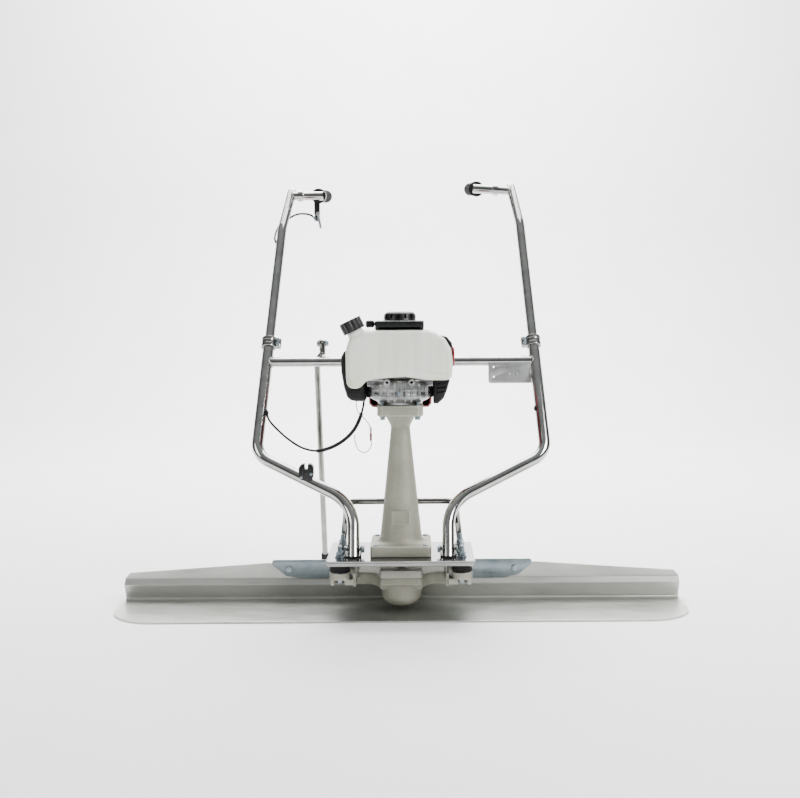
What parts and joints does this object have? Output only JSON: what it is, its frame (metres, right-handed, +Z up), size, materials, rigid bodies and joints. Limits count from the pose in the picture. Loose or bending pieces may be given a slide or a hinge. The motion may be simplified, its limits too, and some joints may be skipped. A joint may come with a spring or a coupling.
{
  "type": "vibrating screed",
  "caption": "Petrol vibrating screed: aluminium blade, exciter on rubber mounts, column with a small engine, chromed handle frame leaning back to grips, kick stand.",
  "frame": {"origin": "on the underside of the blade, straight below the drive shaft", "axes": "+X along the blade, +Y from the blade's lip towards the operator, +Z up along the drive shaft"},
  "size_m": [1.2, 0.6428, 0.9536],
  "materials": {
    "mill_aluminium": "extruded, satin",
    "cast_aluminium": "sand-blasted casting",
    "bright_casting": "die-cast, clean",
    "zinc_plate": "blue zinc",
    "chrome_tube": "bright chrome",
    "bright_plate": "polished",
    "bare_steel": "machined",
    "black_rubber": "matt",
    "black_plastic": "moulded",
    "milky_plastic": "translucent, blown",
    "red_plastic": "moulded",
    "cable_jacket": "smooth",
    "grey_wire": "smooth"
  },
  "bodies": {
    "machine": {"blade_profile": "mill_aluminium", "blade_bracket": "zinc_plate", "bracket_bolt_left": "zinc_plate", "bracket_bolt_right": "zinc_plate", "exciter_housing": "cast_aluminium", "exciter_cover": "cast_aluminium", "bearing_lower": "bare_steel", "base_plate": "bright_plate", "column": "cast_aluminium", "bearing_upper": "bare_steel", "crankcase": "bright_casting", "cylinder_block": "bright_casting", "engine_cover": "red_plastic", "spark_plug_cap": "black_rubber", "air_cleaner_cover": "black_plastic", "muffler_guard": "black_plastic", "starter_hood": "black_plastic", "fuel_tank": "milky_plastic", "carburettor": "bright_casting", "handle_tube_left": "chrome_tube", "handle_tube_right": "chrome_tube", "cross_bar": "chrome_tube", "base_bracket_left": "bright_plate", "base_bracket_right": "bright_plate", "base_bolt_left": "zinc_plate", "base_bolt_right": "zinc_plate", "rear_stay": "chrome_tube", "id_plate": "zinc_plate", "tube_clip": "black_plastic", "stand_bolt": "zinc_plate", "tube_clamp_left": "bright_plate", "tube_clamp_right": "bright_plate", "throttle_cable_lower": "cable_jacket", "stop_wire": "grey_wire", "rubber_mount_front_left": "black_rubber", "mount_bolt_front_left": "zinc_plate", "rubber_mount_front_right": "black_rubber", "mount_bolt_front_right": "zinc_plate", "rubber_mount_rear_left": "black_rubber", "mount_bolt_rear_left": "zinc_plate", "rubber_mount_rear_right": "black_rubber", "mount_bolt_rear_right": "zinc_plate"},
    "upper_left": {"upper_tube_left": "chrome_tube", "throttle_cable_upper": "cable_jacket"},
    "upper_right": {"upper_tube_right": "chrome_tube"},
    "left_hand": {"grip_arm_left": "chrome_tube", "grip_left": "black_rubber", "throttle_body": "black_plastic"},
    "right_hand": {"grip_arm_right": "chrome_tube", "grip_right": "black_rubber"},
    "lever": {"throttle_lever": "bright_plate"},
    "stand": {"stand_leg": "chrome_tube", "stand_foot": "black_rubber"},
    "shaft": {"drive_shaft": "bare_steel", "eccentric_weight": "bare_steel"},
    "crank": {"crankshaft": "bare_steel"},
    "pull": {"starter_grip": "black_plastic"},
    "cap": {"fuel_cap": "black_plastic"},
    "primer": {"primer_bulb": "black_rubber"},
    "choke": {"choke_lever": "black_plastic"}
  },
  "joints": [
    {"name": "left_handle_slide", "type": "slide", "parent": "machine", "child": "upper_left", "axis": [0.0436, 0.4881, 0.8717], "range_m": [-0.035, 0.06]},
    {"name": "right_handle_slide", "type": "slide", "parent": "machine", "child": "upper_right", "axis": [-0.0436, 0.4881, 0.8717], "range_m": [-0.035, 0.06]},
    {"name": "left_grip_tilt", "type": "hinge", "parent": "upper_left", "child": "left_hand", "pos_m": [-0.271, 0.411, 0.911], "axis": [0.9998, 0.02, 0], "range_deg": [-50, 60], "deforming": ["throttle_cable_upper"]},
    {"name": "right_grip_tilt", "type": "hinge", "parent": "upper_right", "child": "right_hand", "pos_m": [0.27052, 0.41637, 0.92059], "axis": [0.9974, -0.0199, -0.0698], "range_deg": [-50, 60]},
    {"name": "throttle_pull", "type": "hinge", "parent": "left_hand", "child": "lever", "pos_m": [-0.206, 0.4245, 0.868], "axis": [0, -1, 0], "range_deg": [0, 40], "stiffness_Nm_per_rad": 0.08},
    {"name": "stand_fold", "type": "hinge", "parent": "machine", "child": "stand", "pos_m": [-0.18, 0.18, 0.556], "axis": [1, 0, 0], "range_deg": [0, 85]},
    {"name": "shaft_spin", "type": "hinge", "parent": "machine", "child": "shaft", "pos_m": [0, 0, 0.25], "axis": [0, 0, 1], "continuous": true},
    {"name": "crank_spin", "type": "hinge", "parent": "machine", "child": "crank", "pos_m": [0, 0, 0.52], "axis": [0, 0, 1], "continuous": true},
    {"name": "starter_pull", "type": "slide", "parent": "machine", "child": "pull", "axis": [-1, 0, 0], "range_m": [0, 0.6], "stiffness_N_per_m": 12},
    {"name": "fuel_cap_turn", "type": "hinge", "parent": "machine", "child": "cap", "pos_m": [-0.0968, -0.066, 0.5994], "axis": [-0.4384, 0, 0.8988], "range_deg": [0, 540]},
    {"name": "primer_press", "type": "slide", "parent": "machine", "child": "primer", "axis": [1, 0, 0], "range_m": [0, 0.004], "stiffness_N_per_m": 500},
    {"name": "choke_turn", "type": "hinge", "parent": "machine", "child": "choke", "pos_m": [-0.086, 0.099, 0.518], "axis": [0, 1, 0], "range_deg": [0, 60]}
  ]
}
